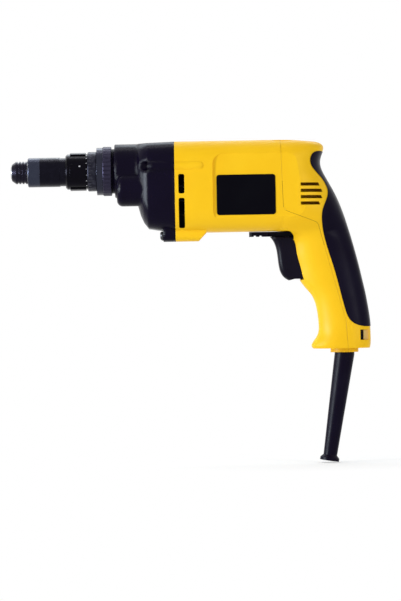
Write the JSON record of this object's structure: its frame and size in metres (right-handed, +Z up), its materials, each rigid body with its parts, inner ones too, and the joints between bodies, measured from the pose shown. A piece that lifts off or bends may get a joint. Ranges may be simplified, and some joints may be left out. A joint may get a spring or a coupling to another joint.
{
  "type": "corded electric screwdriver",
  "caption": "Corded pistol-grip screwdriver with a stepped steel clutch nose, moulded motor housing, rubber-backed handle, trigger, reversing lever and cord bend protector.",
  "frame": {"origin": "centre of the bit socket's mouth, on the spindle axis", "axes": "+X along the spindle axis towards the handle, +Z up, -Y the left side seen in the picture"},
  "size_m": [0.3124, 0.0732, 0.2819],
  "materials": {
    "housing_yellow": "fine moulded grain",
    "black_plastic": "satin",
    "case_black": "satin black paint",
    "black_rubber": "matte",
    "dark_steel": "black oxide",
    "bright_steel": "ground",
    "spring_steel": "drawn wire",
    "copper": "enamelled copper",
    "core_iron": "laminated",
    "bronze": "sintered bronze",
    "carbon": "graphite",
    "plate_aluminium": "die cast"
  },
  "bodies": {
    "housing": {"motor_housing": "housing_yellow", "handle_cover": "housing_yellow", "rear_grip": "black_rubber", "gear_case": "case_black", "bearing_plate": "plate_aluminium", "gear_case_screws": "dark_steel", "handle_screw": "dark_steel", "nameplate": "black_plastic", "cord_boot": "black_rubber", "cord_clamp": "black_plastic", "cord_clamp_screws": "dark_steel", "trigger_switch": "black_plastic", "trigger_spring": "spring_steel", "stator_core": "core_iron", "field_coils": "copper", "brush_holders": "bronze", "brush_springs": "spring_steel", "carbon_brushes": "carbon", "front_motor_bearing": "bright_steel", "rear_motor_bearing": "bright_steel", "layshaft_front_bearing": "bronze", "layshaft_rear_bearing": "bronze", "spindle_rear_bush": "bronze", "spindle_front_bush": "bronze", "nose_sleeve": "dark_steel", "nose_cap": "bright_steel", "scale_ring": "dark_steel", "clutch_spring": "spring_steel"},
    "armature": {"armature_shaft": "bright_steel", "motor_pinion": "bright_steel", "armature_core": "core_iron", "armature_windings": "copper", "commutator": "copper", "cooling_fan": "black_plastic"},
    "layshaft": {"layshaft": "bright_steel", "layshaft_gear": "bright_steel"},
    "drive_gear": {"drive_gear": "bright_steel"},
    "spindle": {"spindle": "bright_steel", "clutch_plate": "bright_steel", "bit_holder": "bright_steel", "detent_ball": "bright_steel", "sleeve_spring": "spring_steel"},
    "release_sleeve": {"release_sleeve": "dark_steel"},
    "torque_collar": {"torque_collar": "dark_steel"},
    "spring_nut": {"spring_nut": "dark_steel"},
    "lock_ring": {"lock_ring": "dark_steel"},
    "trigger": {"trigger": "black_plastic"},
    "reversing_lever": {"reversing_lever": "black_plastic"}
  },
  "joints": [
    {"name": "motor_spin", "type": "hinge", "parent": "housing", "child": "armature", "pos_m": [0.185, 0, -0.0146], "axis": [1, 0, 0], "continuous": true},
    {"name": "layshaft_spin", "type": "hinge", "parent": "housing", "child": "layshaft", "pos_m": [0.11, -0.01587, -0.01665], "axis": [1, 0, 0], "continuous": true},
    {"name": "gear_spin", "type": "hinge", "parent": "housing", "child": "drive_gear", "pos_m": [0.11, 0, 0], "axis": [1, 0, 0], "continuous": true},
    {"name": "spindle_press", "type": "slide", "parent": "drive_gear", "child": "spindle", "axis": [1, 0, 0], "range_m": [0, 0.003], "stiffness_N_per_m": 2500, "springref_m": -0.004, "deforming": ["clutch_spring"]},
    {"name": "sleeve_pull", "type": "slide", "parent": "spindle", "child": "release_sleeve", "axis": [1, 0, 0], "range_m": [0, 0.004], "stiffness_N_per_m": 900, "springref_m": -0.002, "deforming": ["sleeve_spring"]},
    {"name": "collar_turn", "type": "hinge", "parent": "housing", "child": "torque_collar", "pos_m": [0.058, 0, 0], "axis": [1, 0, 0], "range_deg": [-150, 150]},
    {"name": "nut_travel", "type": "slide", "parent": "housing", "child": "spring_nut", "axis": [1, 0, 0], "range_m": [-0.0015, 0.0015], "deforming": ["clutch_spring"]},
    {"name": "ring_turn", "type": "hinge", "parent": "housing", "child": "lock_ring", "pos_m": [0.0844, 0, 0], "axis": [1, 0, 0], "range_deg": [0, 60]},
    {"name": "trigger_pull", "type": "slide", "parent": "housing", "child": "trigger", "axis": [1, 0, 0], "range_m": [0, 0.005], "stiffness_N_per_m": 900, "springref_m": -0.004, "deforming": ["trigger_spring"]},
    {"name": "lever_swing", "type": "hinge", "parent": "housing", "child": "reversing_lever", "pos_m": [0.269, 0, -0.0574], "axis": [0, 0, 1], "range_deg": [-8, 8]}
  ],
  "couplings": [
    {"joint": "layshaft_spin", "follows": "motor_spin", "ratio": -0.29032},
    {"joint": "gear_spin", "follows": "motor_spin", "ratio": 0.080645},
    {"joint": "nut_travel", "follows": "collar_turn", "m_per_rad": 0.0005}
  ]
}
